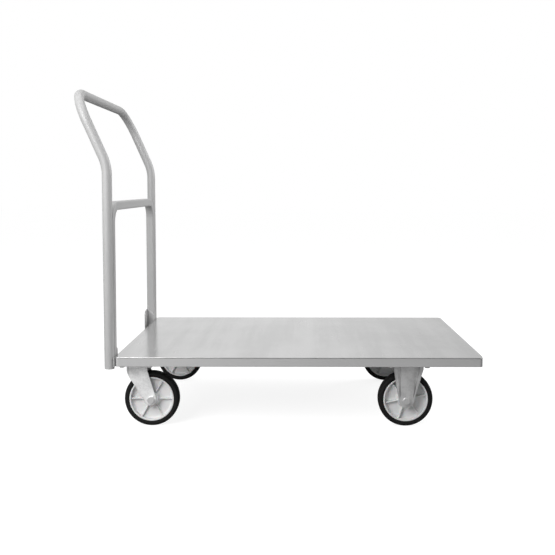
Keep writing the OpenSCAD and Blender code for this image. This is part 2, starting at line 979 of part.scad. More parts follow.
fixed_bracket(RIGHT);  // fixed_bracket_right
axle_bolt(fixed_x, RIGHT, fixed_grip);  // axle_bolt_fixed_right
axle_nut(fixed_x, RIGHT, fixed_grip);  // axle_nut_fixed_right
spacer(fixed_x, RIGHT);  // spacer_fixed_right
bush(fixed_x, RIGHT);  // bush_fixed_right
wheel_core(fixed_x, RIGHT, fixed_rib_turn);  // wheel_core_fixed_right
tyre(fixed_x, RIGHT);  // tyre_fixed_right
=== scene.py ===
"""Looks for a flatbed platform truck: finishes, welds, detailed wheels, light and camera.

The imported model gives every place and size. Lengths here are in metres.
"""

from __future__ import annotations

import logging
import math
from dataclasses import dataclass, field
from enum import Enum
from typing import Callable, Iterable, Sequence

import bmesh
import bpy
from mathutils import Matrix, Vector

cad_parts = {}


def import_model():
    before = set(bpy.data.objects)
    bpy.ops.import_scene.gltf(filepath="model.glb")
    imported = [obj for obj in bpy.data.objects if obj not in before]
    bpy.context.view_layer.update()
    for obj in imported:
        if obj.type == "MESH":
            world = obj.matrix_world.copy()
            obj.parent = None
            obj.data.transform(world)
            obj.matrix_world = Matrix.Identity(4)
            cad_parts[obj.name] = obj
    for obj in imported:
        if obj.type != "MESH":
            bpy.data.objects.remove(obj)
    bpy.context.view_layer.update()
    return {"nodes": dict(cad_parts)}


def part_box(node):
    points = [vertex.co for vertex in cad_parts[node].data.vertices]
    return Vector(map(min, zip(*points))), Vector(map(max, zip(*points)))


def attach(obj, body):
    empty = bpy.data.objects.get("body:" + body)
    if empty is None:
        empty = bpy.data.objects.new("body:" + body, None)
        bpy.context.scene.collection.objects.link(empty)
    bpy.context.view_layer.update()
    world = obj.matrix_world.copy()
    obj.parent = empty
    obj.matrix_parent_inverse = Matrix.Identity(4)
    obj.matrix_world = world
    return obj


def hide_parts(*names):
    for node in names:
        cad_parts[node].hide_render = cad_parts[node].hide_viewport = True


log = logging.getLogger("platform_truck")

MM = 0.001
Point = tuple[float, float, float]
Grey = tuple[float, float, float, float]


def grey(level: float) -> Grey:
    """Returns a neutral colour of the given linear level."""
    return (level, level, level, 1.0)


class Side(Enum):
    """Side of the truck, seen by the person who pushes it."""

    LEFT = "left"
    RIGHT = "right"

    @property
    def sign(self) -> int:
        """Direction of this side along Y."""
        return 1 if self is Side.LEFT else -1


class CasterKind(Enum):
    """How a caster is held under the frame."""

    SWIVEL = "swivel"
    FIXED = "fixed"


# ---------------------------------------------------------------- node helpers


class Graph:
    """A thin wrapper that adds and links nodes in one node tree."""

    def __init__(self, tree: bpy.types.NodeTree) -> None:
        """Starts from a tree, which is emptied.

        Args:
            tree: the material's or group's node tree.
        """
        self.tree = tree
        tree.nodes.clear()

    def add(self, kind: str, **settings: object) -> bpy.types.Node:
        """Adds a node.

        Args:
            kind: the node's type, such as "ShaderNodeTexNoise".
            settings: attributes to set on it.

        Returns:
            The new node.
        """
        node = self.tree.nodes.new(kind)
        for name, value in settings.items():
            setattr(node, name, value)
        return node

    def feed(self, node: bpy.types.Node, name: str | int, source: object) -> None:
        """Links a socket to an input, or sets the input's value.

        Args:
            node: the node that receives.
            name: the input's name or number.
            source: an output socket or a plain value.
        """
        if isinstance(source, bpy.types.NodeSocket):
            self.tree.links.new(source, node.inputs[name])
        else:
            node.inputs[name].default_value = source

    def maths(self, operation: str, *values: object, clamp: bool = False) -> bpy.types.NodeSocket:
        """Adds a Math node and returns its result.

        Args:
            operation: the Math node's operation.
            values: sockets or numbers, in order.
            clamp: whether the result is kept from 0 to 1.

        Returns:
            The node's output socket.
        """
        node = self.add("ShaderNodeMath", operation=operation, use_clamp=clamp)
        for i, value in enumerate(values):
            self.feed(node, i, value)
        return node.outputs[0]

    def spread(self, value: object, low: object, high: object, clamp: bool = True) -> bpy.types.NodeSocket:
        """Maps a value from 0..1 to low..high.

        Args:
            value: the socket to map.
            low: result at 0.
            high: result at 1.
            clamp: whether the result stays inside the range.

        Returns:
            The mapped value.
        """
        node = self.add("ShaderNodeMapRange", clamp=clamp)
        self.feed(node, "Value", value)
        self.feed(node, "To Min", low)
        self.feed(node, "To Max", high)
        return node.outputs["Result"]

    def window(self, value: object, start: object, end: object) -> bpy.types.NodeSocket:
        """Maps a value from start..end to a smooth 0..1 step.

        Args:
            value: the socket to map.
            start: value that gives 0.
            end: value that gives 1.

        Returns:
            The stepped value.
        """
        node = self.add("ShaderNodeMapRange", interpolation_type="SMOOTHSTEP", clamp=True)
        self.feed(node, "Value", value)
        self.feed(node, "From Min", start)
        self.feed(node, "From Max", end)
        return node.outputs["Result"]

    def blend(self, factor: object, first: object, second: object) -> bpy.types.NodeSocket:
        """Mixes two colours.

        Args:
            factor: how much of the second colour shows.
            first: colour at 0.
            second: colour at 1.

        Returns:
            The mixed colour.
        """
        node = self.add("ShaderNodeMix", data_type="RGBA")
        self.feed(node, 0, factor)
        self.feed(node, 6, first)
        self.feed(node, 7, second)
        return node.outputs[2]

    def noise(
        self, place: object, scale: object, detail: float = 3.0, rough: float = 0.5
    ) -> bpy.types.NodeSocket:
        """Adds a noise texture.

        Args:
            place: the coordinates.
            scale: how many features to a metre.
            detail: octaves.
            rough: strength of the finer octaves.

        Returns:
            The noise value from 0 to 1.
        """
        node = self.add("ShaderNodeTexNoise")
        self.feed(node, "Vector", place)
        self.feed(node, "Scale", scale)
        self.feed(node, "Detail", detail)
        self.feed(node, "Roughness", rough)
        return node.outputs["Fac"]

    def stretched(self, place: object, scale: Point) -> bpy.types.NodeSocket:
        """Scales coordinates along each axis.

        Args:
            place: the coordinates.
            scale: factor along X, Y and Z.

        Returns:
            The scaled coordinates.
        """
        node = self.add("ShaderNodeMapping")
        self.feed(node, "Vector", place)
        self.feed(node, "Scale", scale)
        return node.outputs["Vector"]

    def object_place(self) -> bpy.types.NodeSocket:
        """Returns the object's own coordinates."""
        return self.add("ShaderNodeTexCoord").outputs["Object"]


@dataclass(frozen=True)
class Effect:
    """A shader node group that more than one finish uses."""

    name: str
    inputs: dict[str, float]
    outputs: tuple[str, ...]
    build: Callable[[Graph, bpy.types.Node, bpy.types.Node], None]

    def tree(self) -> bpy.types.NodeTree:
        """Returns the group, built the first time it is asked for."""
        known = bpy.data.node_groups.get(self.name)
        if known:
            return known
        tree = bpy.data.node_groups.new(self.name, "ShaderNodeTree")
        for label, value in self.inputs.items():
            socket = tree.interface.new_socket(label, in_out="INPUT", socket_type="NodeSocketFloat")
            socket.default_value = value
        for label in self.outputs:
            tree.interface.new_socket(label, in_out="OUTPUT", socket_type="NodeSocketFloat")
        graph = Graph(tree)
        self.build(graph, graph.add("NodeGroupInput"), graph.add("NodeGroupOutput"))
        return tree

    def place(self, graph: Graph, **values: float) -> bpy.types.Node:
        """Adds the group to a material.

        Args:
            graph: the material's graph.
            values: inputs by name, with _ for a space.

        Returns:
            The group node.
        """
        node = graph.add("ShaderNodeGroup", node_tree=self.tree())
        for label, value in values.items():
            node.inputs[label.replace("_", " ")].default_value = value
        return node


def build_mottle(g: Graph, given: bpy.types.Node, out: bpy.types.Node) -> None:
    """Broad and fine unevenness, as a value around a half and a height."""
    place = g.object_place()
    broad = g.noise(place, given.outputs["Broad Scale"], 2.0)
    fine = g.noise(place, given.outputs["Fine Scale"], 4.0, 0.6)
    g.feed(out, "Value", g.maths("ADD", g.maths("MULTIPLY", broad, 0.6), g.maths("MULTIPLY", fine, 0.4)))
    g.feed(out, "Height", fine)


def build_edge_rub(g: Graph, given: bpy.types.Node, out: bpy.types.Node) -> None:
    """A mask along outer edges, broken up by noise, where a coat rubs thin."""
    rounded = g.add("ShaderNodeBevel", samples=4)
    g.feed(rounded, "Radius", given.outputs["Width"])
    facing = g.add("ShaderNodeVectorMath", operation="DOT_PRODUCT")
    g.feed(facing, 0, rounded.outputs["Normal"])
    g.feed(facing, 1, g.add("ShaderNodeNewGeometry").outputs["Normal"])
    turn = g.window(g.maths("SUBTRACT", 1.0, facing.outputs["Value"]), 0.02, 0.2)
    patch = g.window(g.noise(g.object_place(), 90.0, 4.0, 0.6), 0.46, 0.62)
    g.feed(
        out,
        "Mask",
        g.maths("MULTIPLY", turn, g.maths("MULTIPLY", patch, given.outputs["Amount"]), clamp=True),
    )


def build_scratches(g: Graph, given: bpy.types.Node, out: bpy.types.Node) -> None:
    """Sparse thin scratches in two directions."""
    place = g.object_place()
    total = None
    for spin, squeeze in ((0.35, (6.0, 260.0, 120.0)), (-0.9, (220.0, 9.0, 160.0))):
        turned = g.add("ShaderNodeMapping")
        g.feed(turned, "Vector", place)
        turned.inputs["Rotation"].default_value = (0.0, 0.0, spin)
        turned.inputs["Scale"].default_value = squeeze
        line = g.window(g.noise(turned.outputs["Vector"], 1.0, 2.0), 0.68, 0.74)
        total = line if total is None else g.maths("MAXIMUM", total, line)
    patch = g.window(g.noise(place, 4.0, 1.0), 0.42, 0.6)
    mask = g.maths("MULTIPLY", g.maths("MULTIPLY", total, patch), given.outputs["Amount"], clamp=True)
    g.feed(out, "Mask", mask)


def build_dust(g: Graph, given: bpy.types.Node, out: bpy.types.Node) -> None:
    """Thin dust on faces that look up and on what is near the floor."""
    geometry = g.add("ShaderNodeNewGeometry")
    normal = g.add("ShaderNodeSeparateXYZ")
    g.feed(normal, 0, geometry.outputs["Normal"])
    place = g.add("ShaderNodeSeparateXYZ")
    g.feed(place, 0, geometry.outputs["Position"])
    up = g.window(normal.outputs["Z"], 0.2, 1.0)
    low = g.window(place.outputs["Z"], 0.16, 0.0)
    cover = g.maths("MAXIMUM", up, g.maths("MULTIPLY", low, 0.8))
    patch = g.noise(geometry.outputs["Position"], 38.0, 5.0, 0.65)
    g.feed(
        out,
        "Mask",
        g.maths("MULTIPLY", g.maths("MULTIPLY", cover, patch), given.outputs["Amount"], clamp=True),
    )


MOTTLE = Effect("Mottle", {"Broad Scale": 6.0, "Fine Scale": 300.0}, ("Value", "Height"), build_mottle)
EDGE_RUB = Effect("Edge Rub", {"Width": 0.0012, "Amount": 0.6}, ("Mask",), build_edge_rub)
SCRATCHES = Effect("Fine Scratches", {"Amount": 0.5}, ("Mask",), build_scratches)
DUST = Effect("Settled Dust", {"Amount": 0.2}, ("Mask",), build_dust)


# ---------------------------------------------------------------- finishes


@dataclass(frozen=True)
class Finish:
    """What every finish shares: a name, a base level and a roughness."""

    name: str
    level: float
    roughness: float

    def material(self) -> bpy.types.Material:
        """Returns the material, made the first time it is asked for."""
        known = bpy.data.materials.get(self.name)
        if known:
            return known
        made = bpy.data.materials.new(self.name)
        made.use_nodes = True
        graph = Graph(made.node_tree)
        shader = graph.add("ShaderNodeBsdfPrincipled")
        output = graph.add("ShaderNodeOutputMaterial")
        graph.feed(output, "Surface", shader.outputs["BSDF"])
        self.shade(graph, shader)
        return made

    def shade(self, g: Graph, shader: bpy.types.Node) -> None:
        """Feeds the shader; each finish has its own."""
        raise NotImplementedError

    def bump(
        self,
        g: Graph,
        shader: bpy.types.Node,
        height: object,
        distance: float,
        strength: float = 1.0,
    ) -> None:
        """Feeds a height to the shader's normal.

        Args:
            g: the material's graph.
            shader: the Principled shader.
            height: the height socket.
            distance: depth of a full step, in metres.
            strength: how strongly it shows.
        """
        node = g.add("ShaderNodeBump")
        node.inputs["Distance"].default_value = distance
        node.inputs["Strength"].default_value = strength
        g.feed(node, "Height", height)
        g.feed(shader, "Normal", node.outputs["Normal"])


@dataclass(frozen=True)
class StainlessSheet(Finish):
    """Half-bright rolled stainless sheet with slow ripples across its width."""

    ripple: float = 0.00035

    def shade(self, g: Graph, shader: bpy.types.Node) -> None:
        """Streaks the gloss along the sheet, lets its surface roll a little, and paints its colour with its
        own smudges and with light and dark bands of painted reflection.
        """
        place = g.object_place()
        streak = g.noise(g.stretched(place, (420.0, 3.0, 1.0)), 1.0, 3.0, 0.6)
        broad = g.noise(g.stretched(place, (7.0, 2.2, 1.0)), 1.0, 2.0)
        # Bands that run across the sheet at intervals along its length: painted reflection of the sheet's
        # waviness, light and dark.
        reflection_band = g.noise(g.stretched(place, (17.0, 1.3, 1.0)), 1.0, 4.0, 0.55)
        smear = g.noise(place, 5.5, 3.0, 0.55)
        marks = SCRATCHES.place(g, Amount=0.7).outputs["Mask"]
        dust = DUST.place(g, Amount=0.16).outputs["Mask"]
        # The colour's cloud mixes the sheet's own smudged mottling with the painted reflection bands.
        cloud = g.window(
            g.maths("ADD", g.maths("MULTIPLY", smear, 0.4), g.maths("MULTIPLY", reflection_band, 0.6)),
            0.34,
            0.66,
        )
        tone = g.blend(cloud, grey(self.level * 0.9), grey(self.level * 1.06))
        tone = g.blend(g.maths("MULTIPLY", marks, 0.25), tone, grey(0.82))
        g.feed(shader, "Base Color", g.blend(g.maths("MULTIPLY", dust, 0.5), tone, grey(0.6)))
        shader.inputs["Metallic"].default_value = 1.0
        shader.inputs["Anisotropic"].default_value = 0.35
        gloss = g.spread(streak, self.roughness - 0.05, self.roughness + 0.05)
        gloss = g.maths("ADD", gloss, g.maths("MULTIPLY", g.maths("ADD", marks, dust), 0.18))
        g.feed(shader, "Roughness", g.maths("ADD", gloss, g.maths("MULTIPLY", smear, 0.06), clamp=True))
        height = g.maths("ADD", g.maths("MULTIPLY", broad, 1.0), g.maths("MULTIPLY", streak, 0.012))
        self.bump(g, shader, g.maths("SUBTRACT", height, g.maths("MULTIPLY", marks, 0.02)), self.ripple)


@dataclass(frozen=True)
class Paint(Finish):
    """Semi-gloss sprayed paint over steel, with orange peel and rubbed edges."""

    wear: float = 0.5
    dust: float = 0.15
    scuffs: float = 0.25
    peel: float = 0.8

    def shade(self, g: Graph, shader: bpy.types.Node) -> None:
        """Mottles the coat, thins it at edges and dusts it."""
        mottle = MOTTLE.place(g, Broad_Scale=9.0, Fine_Scale=520.0)
        rub = EDGE_RUB.place(g, Width=0.0012, Amount=self.wear).outputs["Mask"]
        marks = SCRATCHES.place(g, Amount=self.scuffs).outputs["Mask"]
        dust = DUST.place(g, Amount=self.dust).outputs["Mask"]
        coat = g.blend(mottle.outputs["Value"], grey(self.level * 0.93), grey(self.level * 1.06))
        coat = g.blend(g.maths("MULTIPLY", marks, 0.3), coat, grey(self.level * 1.25))
        worn = g.blend(rub, coat, grey(0.34))
        g.feed(shader, "Base Color", g.blend(dust, worn, grey(0.5)))
        gloss = g.spread(mottle.outputs["Value"], self.roughness - 0.06, self.roughness + 0.08)
        g.feed(
            shader,
            "Roughness",
            g.maths(
                "ADD", gloss, g.maths("MULTIPLY", g.maths("ADD", dust, marks), 0.25), clamp=True
            ),
        )
        g.feed(shader, "Metallic", g.maths("MULTIPLY", rub, 0.8))
        shader.inputs["Coat Weight"].default_value = 0.12
        shader.inputs["Coat Roughness"].default_value = 0.12
        height = g.maths("SUBTRACT", mottle.outputs["Height"], g.maths("MULTIPLY", rub, 1.5))
        self.bump(g, shader, height, 0.00002, self.peel)


@dataclass(frozen=True)
class Zinc(Finish):
    """Bright zinc plating: a mottled, faintly milky metal."""

    grain_scale: float = 240.0
    shine: float = 0.7

    def shade(self, g: Graph, shader: bpy.types.Node) -> None:
        """Mottles the plating with cloudy patches and fine drawing marks."""
        place = g.object_place()
        mottle = MOTTLE.place(g, Broad_Scale=26.0, Fine_Scale=self.grain_scale)
        draw = g.noise(g.stretched(place, (60.0, 60.0, 900.0)), 1.0, 3.0)
        rub = EDGE_RUB.place(g, Width=0.0008, Amount=0.8).outputs["Mask"]
        dust = DUST.place(g, Amount=0.25).outputs["Mask"]
        tone = g.blend(
            g.window(mottle.outputs["Value"], 0.36, 0.64),
            grey(self.level * 0.82),
            grey(self.level * 1.08),
        )
        tone = g.blend(g.maths("MULTIPLY", rub, 0.6), tone, grey(min(1.0, self.level * 1.15)))
        g.feed(shader, "Base Color", g.blend(dust, tone, grey(0.5)))
        g.feed(shader, "Metallic", g.maths("SUBTRACT", self.shine, g.maths("MULTIPLY", dust, 0.5)))
        cloud = g.maths(
            "ADD",
            g.maths("MULTIPLY", mottle.outputs["Value"], 0.6),
            g.maths("MULTIPLY", draw, 0.4),
        )
        g.feed(shader, "Roughness", g.spread(cloud, self.roughness - 0.12, self.roughness + 0.14))
        self.bump(
            g,
            shader,
            g.maths("ADD", mottle.outputs["Height"], g.maths("MULTIPLY", draw, 0.5)),
            0.00006,
        )


@dataclass(frozen=True)
class BareSteel(Finish):
    """Dull bearing steel with a dark film of grease."""

    def shade(self, g: Graph, shader: bpy.types.Node) -> None:
        """Darkens the steel in patches where grease lies."""
        mottle = MOTTLE.place(g, Broad_Scale=60.0, Fine_Scale=700.0)
        film = g.window(mottle.outputs["Value"], 0.4, 0.6)
        g.feed(shader, "Base Color", g.blend(film, grey(self.level), grey(self.level * 0.45)))
        shader.inputs["Metallic"].default_value = 0.9
        g.feed(shader, "Roughness", g.spread(film, self.roughness + 0.1, self.roughness - 0.1))
        self.bump(g, shader, mottle.outputs["Height"], 0.00003)


@dataclass(frozen=True)
class Moulded(Finish):
    """Moulded plastic with flow marks, light scuffs and some light going through."""

    scatter: float = 0.08

    def shade(self, g: Graph, shader: bpy.types.Node) -> None:
        """Clouds the plastic and scuffs it near the floor."""
        mottle = MOTTLE.place(g, Broad_Scale=22.0, Fine_Scale=900.0)
        dust = DUST.place(g, Amount=0.3).outputs["Mask"]
        rub = EDGE_RUB.place(g, Width=0.0009, Amount=0.5).outputs["Mask"]
        tone = g.blend(mottle.outputs["Value"], grey(self.level * 0.94), grey(self.level * 1.04))
        tone = g.blend(rub, tone, grey(self.level * 0.8))
        g.feed(shader, "Base Color", g.blend(dust, tone, grey(self.level * 0.62)))
        g.feed(
            shader,
            "Roughness",
            g.spread(mottle.outputs["Value"], self.roughness - 0.06, self.roughness + 0.1),
        )
        shader.inputs["Subsurface Weight"].default_value = self.scatter
        shader.inputs["Subsurface Scale"].default_value = 0.002
        self.bump(g, shader, mottle.outputs["Height"], 0.00004)


@dataclass(frozen=True)
class SolidRubber(Finish):
    """Black solid rubber, a little bloomed and dusty on its tread."""

    def shade(self, g: Graph, shader: bpy.types.Node) -> None:
        """Greys the rubber with bloom and dust and gives it a fine skin."""
        mottle = MOTTLE.place(g, Broad_Scale=30.0, Fine_Scale=1400.0)
        dust = DUST.place(g, Amount=0.5).outputs["Mask"]
        bloom = g.blend(mottle.outputs["Value"], grey(self.level), grey(self.level * 1.7))
        g.feed(shader, "Base Color", g.blend(g.maths("MULTIPLY", dust, 0.2), bloom, grey(0.1)))
        shader.inputs["Specular IOR Level"].default_value = 0.2
        gloss = g.spread(mottle.outputs["Value"], self.roughness - 0.08, self.roughness + 0.12)
        g.feed(shader, "Roughness", g.maths("ADD", gloss, g.maths("MULTIPLY", dust, 0.3), clamp=True))
        self.bump(g, shader, mottle.outputs["Height"], 0.00006)


@dataclass(frozen=True)
class StudioFloor(Finish):
    """Plain matte floor, lit to nearly white where it is seen."""

    glow: float = 0.86

    def shade(self, g: Graph, shader: bpy.types.Node) -> None:
        """Keeps one pale colour, and glows only where the camera sees it directly."""
        tone = g.noise(g.object_place(), 3.0, 2.0)
        g.feed(shader, "Base Color", g.blend(tone, grey(self.level * 0.98), grey(self.level)))
        shader.inputs["Roughness"].default_value = self.roughness
        shader.inputs["Specular IOR Level"].default_value = 0.0
        seen = g.add("ShaderNodeLightPath").outputs["Is Camera Ray"]
        g.feed(shader, "Emission Color", g.blend(seen, grey(0.0), grey(self.glow)))
        shader.inputs["Emission Strength"].default_value = 1.0


STAINLESS = StainlessSheet("Stainless Sheet", level=0.66, roughness=0.15)
FRAME_PAINT = Paint("Frame Paint", level=0.42, roughness=0.38, wear=0.75)
HANDLE_PAINT = Paint("Handle Paint", level=0.39, roughness=0.42, wear=0.2, dust=0.05, scuffs=0.0, peel=0.25)
ZINC_SHEET = Zinc("Zinc Sheet", level=0.92, roughness=0.42, shine=0.55)
# A copy of the zinc sheet at a lower level for the fixed brackets: the darker level is painted shade,
# standing in for the weaker light at that end.
ZINC_SHADED = Zinc("Zinc Sheet Painted Shade", level=0.7, roughness=0.4, grain_scale=160.0, shine=0.8)
ZINC_FASTENER = Zinc("Zinc Fastener", level=0.7, roughness=0.3, grain_scale=600.0)
RACE_STEEL = BareSteel("Race Steel", level=0.28, roughness=0.38)
WELD_METAL = Paint("Painted Weld", level=0.48, roughness=0.36, wear=0.1)
WHEEL_PLASTIC = Moulded("Wheel Plastic", level=0.72, roughness=0.42)
BUSH_PLASTIC = Moulded("Bush Plastic", level=0.75, roughness=0.35)
TYRE_RUBBER = SolidRubber("Tyre Rubber", level=0.004, roughness=0.62)
FLOOR = StudioFloor("Studio Floor", level=0.3, roughness=1.0)


# ---------------------------------------------------------------- mesh helpers


def new_object(name: str, mesh: bpy.types.Mesh, finish: Finish) -> bpy.types.Object:
    """Links a new object that wears one finish.

    Args:
        name: the object's name.
        mesh: its mesh.
        finish: its finish.

    Returns:
        The object.
    """
    made = bpy.data.objects.new(name, mesh)
    bpy.context.scene.collection.objects.link(made)
    mesh.materials.append(finish.material())
    return made


def mesh_from(name: str, work: bmesh.types.BMesh) -> bpy.types.Mesh:
    """Turns a bmesh into a smooth-shaded mesh and frees it.

    Args:
        name: the mesh's name.
        work: the bmesh.

    Returns:
        The mesh.
    """
    bmesh.ops.recalc_face_normals(work, faces=work.faces)
    mesh = bpy.data.meshes.new(name)
    work.to_mesh(mesh)
    work.free()
    mesh.shade_smooth()
    return mesh


def lathe(work: bmesh.types.BMesh, profile: Sequence[tuple[float, float]], steps: int) -> None:
    """Turns a closed profile about Z.

    Args:
        work: the bmesh that receives the rings.
        profile: (radius, height) points in order round the section.
        steps: divisions of the turn.
    """
    rings = []
    for i in range(steps):
        angle = 2 * math.pi * i / steps
        c, s = math.cos(angle), math.sin(angle)
        rings.append([work.verts.new((r * c, r * s, z)) for r, z in profile])
    count = len(profile)
    for i in range(steps):
        here, there = rings[i], rings[(i + 1) % steps]
        for j in range(count):
            k = (j + 1) % count
            work.faces.new((here[j], there[j], there[k], here[k]))


def arc(
    centre: tuple[float, float], radius: float, start: float, end: float, steps: int = 6
) -> list[tuple[float, float]]:
    """Points along an arc of a section.

    Args:
        centre: (radius, height) of the arc's centre.
        radius: the arc's own radius.
        start: first angle, in degrees.
        end: last angle, in degrees.
        steps: divisions of the arc.

    Returns:
        The points from start to end.
    """
    angles = [math.radians(start + (end - start) * i / steps) for i in range(steps + 1)]
    return [(centre[0] + radius * math.cos(a), centre[1] + radius * math.sin(a)) for a in angles]


def mirrored(half: Sequence[tuple[float, float]]) -> list[tuple[float, float]]:
    """Adds the mirror image of half a section below height zero.

    Args:
        half: points from the upper half, from the inner to the outer side.

    Returns:
        The whole closed section.
    """
    return list(half) + [(r, -z) for r, z in reversed(half)]


def soften(piece: bpy.types.Object, width: float, segments: int = 2, angle: float = 35.0) -> None:
    """Rounds the hard edges of a CAD piece without touching its own mesh.

    Args:
        piece: the object.
        width: width of the rounding.
        segments: steps across it.
        angle: edges sharper than this many degrees are rounded.
    """
    weld = piece.modifiers.new("join split vertices", "WELD")
    weld.merge_threshold = 0.00001
    flat = piece.modifiers.new("merge flat faces", "DECIMATE")
    flat.decimate_type = "DISSOLVE"
    flat.angle_limit = math.radians(0.4)
    bevel = piece.modifiers.new("round edges", "BEVEL")
    bevel.width = width
    bevel.segments = segments
    bevel.limit_method = "ANGLE"
    bevel.angle_limit = math.radians(angle)
    bevel.use_clamp_overlap = True
    bevel.harden_normals = False
    piece.modifiers.new("even shading", "WEIGHTED_NORMAL")


def weld_bead(name: str, start: Vector, end: Vector, radius: float) -> bpy.types.Mesh:
    """A rippled weld bead between two points.

    Args:
        name: the mesh's name.
        start: first end of the bead.
        end: other end.
        radius: the bead's radius.

    Returns:
        The bead's mesh.
    """
    work = bmesh.new()
    axis = end - start
    length = axis.length
    turn = Vector((0, 0, 1)).rotation_difference(axis).to_matrix().to_4x4()
    ripples = max(3, round(length / (radius * 0.9)))
    steps = ripples * 4
    rings = []
    for i in range(steps + 1):
        t = i / steps
        into_end = max(0.0, abs(2 * t - 1) * length - (length - 2 * radius))
        cap = math.sqrt(max(0.0, 1.0 - into_end**2 / (2 * radius) ** 2))
        swell = radius * cap * (0.86 + 0.14 * abs(math.sin(math.pi * ripples * t)))
        ring = []
        for j in range(10):
            a = 2 * math.pi * j / 10
            local = Vector((swell * math.cos(a), swell * math.sin(a), t * length))
            ring.append(work.verts.new(start + turn @ local))
        rings.append(ring)
    for lower, upper in zip(rings, rings[1:]):
        for j in range(10):
            work.faces.new((lower[j], lower[(j + 1) % 10], upper[(j + 1) % 10], upper[j]))
    work.faces.new(rings[0])
    work.faces.new(rings[-1])
    return mesh_from(name, work)


def joined(name: str, meshes: Iterable[bpy.types.Mesh]) -> bpy.types.Mesh:
    """Puts several meshes into one.

    Args:
        name: the new mesh's name.
        meshes: the parts, which are removed.

    Returns:
        The joined mesh.
    """
    work = bmesh.new()
    for part in list(meshes):
        work.from_mesh(part)
        bpy.data.meshes.remove(part)
    return mesh_from(name, work)


# ---------------------------------------------------------------- sub-assemblies


@dataclass
class Truck:
    """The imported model's nodes and the few places that several pieces share."""

    nodes: dict[str, bpy.types.Object]
    dressed: set[str] = field(default_factory=set)

    def dress(self, name: str, finish: Finish) -> bpy.types.Object:
        """Gives a CAD node its finish.

        Args:
            name: the node's name.
            finish: the finish it wears.

        Returns:
            The node's object.
        """
        piece = self.nodes[name]
        piece.data.materials.clear()
        piece.data.materials.append(finish.material())
        self.dressed.add(name)
        return piece

    def middle(self, name: str) -> Vector:
        """Returns the middle of a node's box."""
        low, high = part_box(name)
        return (Vector(low) + Vector(high)) / 2


@dataclass
class Deck:
    """The sheet, the channel frame under it and the welds that hold the frame."""

    truck: Truck
    edge_round: float = 0.7 * MM
    channel_round: float = 1.1 * MM
    bead_radius: float = 2.2 * MM

    RAILS = ("side_rail_left", "side_rail_right", "end_rail_rear", "end_rail_front")
    MEMBERS = ("cross_member_rear", "cross_member_front_a", "cross_member_front_b", "plain_cross_members")

    def build(self) -> None:
        """Dresses the sheet and the channels and adds the frame's welds."""
        soften(self.truck.dress("deck_sheet", STAINLESS), self.edge_round)
        for name in self.RAILS + self.MEMBERS:
            soften(self.truck.dress(name, FRAME_PAINT), self.channel_round)
        self.member_welds()
        log.info("deck: sheet, %d channels and their welds", len(self.RAILS + self.MEMBERS))

    def member_welds(self) -> None:
        """Runs a bead across the foot of each cross member where it meets a side rail."""
        low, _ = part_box("side_rail_left")
        seam_y = low[1]
        beads = []
        for name in self.MEMBERS:
            start, end = (Vector(corner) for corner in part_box(name))
            spans = [(start.x, end.x)]
            if name == "plain_cross_members":
                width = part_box("cross_member_rear")[1][0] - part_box("cross_member_rear")[0][0]
                spans = [(start.x, start.x + width), (end.x - width, end.x)]
            for first, last in spans:
                for sign in (1, -1):
                    at = Vector((0, sign * (seam_y - 0.3 * MM), start.z + 1.2 * MM))
                    beads.append(weld_bead("bead", at + Vector((first + 2 * MM, 0, 0)),
                                           at + Vector((last - 2 * MM, 0, 0)), self.bead_radius))
        piece = new_object("frame_welds", joined("frame_welds", beads), WELD_METAL)
        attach(piece, "root")


@dataclass
class Handle:
    """The bent tube, the inner hoop, their feet and the welds between them."""

    truck: Truck
    bead_radius: float = 2.6 * MM
    stitch: float = 24 * MM
    stitch_heights: tuple[float, ...] = (0.03, 0.33, 0.66, 0.97)
    sheet_round: float = 0.8 * MM

    def build(self) -> None:
        """Dresses the handle's nodes and adds its welds."""
        self.truck.dress("handle_tube", HANDLE_PAINT)
        self.truck.dress("handle_hoop", HANDLE_PAINT)
        for part in ("foot_plate", "gusset"):
            for side in Side:
                soften(self.truck.dress(f"{part}_{side.value}", HANDLE_PAINT), self.sheet_round)
        for name in ("handle_bolts", "handle_nuts"):
            soften(self.truck.dress(name, ZINC_FASTENER), 0.3 * MM)
        self.welds()
        log.info("handle: tube, hoop, feet, fasteners and welds")

    def welds(self) -> None:
        """Stitches the hoop's legs to the uprights and beads the gussets."""
        hoop_low, hoop_high = (Vector(c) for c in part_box("handle_hoop"))
        deck_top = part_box("deck_sheet")[1][2]
        middle_x = (hoop_low.x + hoop_high.x) / 2
        reach_x = (hoop_high.x - hoop_low.x) / 2
        straight_top = hoop_high.z - 70 * MM
        beads = []
        for side in Side:
            seam_y = side.sign * (hoop_high.y + 1.4 * MM)
            for share in self.stitch_heights:
                z = deck_top + 20 * MM + share * (straight_top - deck_top - 50 * MM)
                for face in (1, -1):
                    at = Vector((middle_x + face * (reach_x - 4.2 * MM), seam_y, z))
                    beads.append(weld_bead("bead", at, at + Vector((0, 0, self.stitch)), self.bead_radius))
            low, high = (Vector(c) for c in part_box(f"gusset_{side.value}"))
            flange_y = high.y if side is Side.LEFT else low.y
            drop = 24 * MM
            back = Vector((low.x + 3 * MM, flange_y - side.sign * 0.6 * MM, high.z))
            front = Vector((high.x - 1 * MM, flange_y - side.sign * 0.6 * MM, high.z - drop))
            beads.append(weld_bead("bead", back, front, 1.8 * MM))
        piece = new_object("handle_welds", joined("handle_welds", beads), WELD_METAL)
        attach(piece, "root")


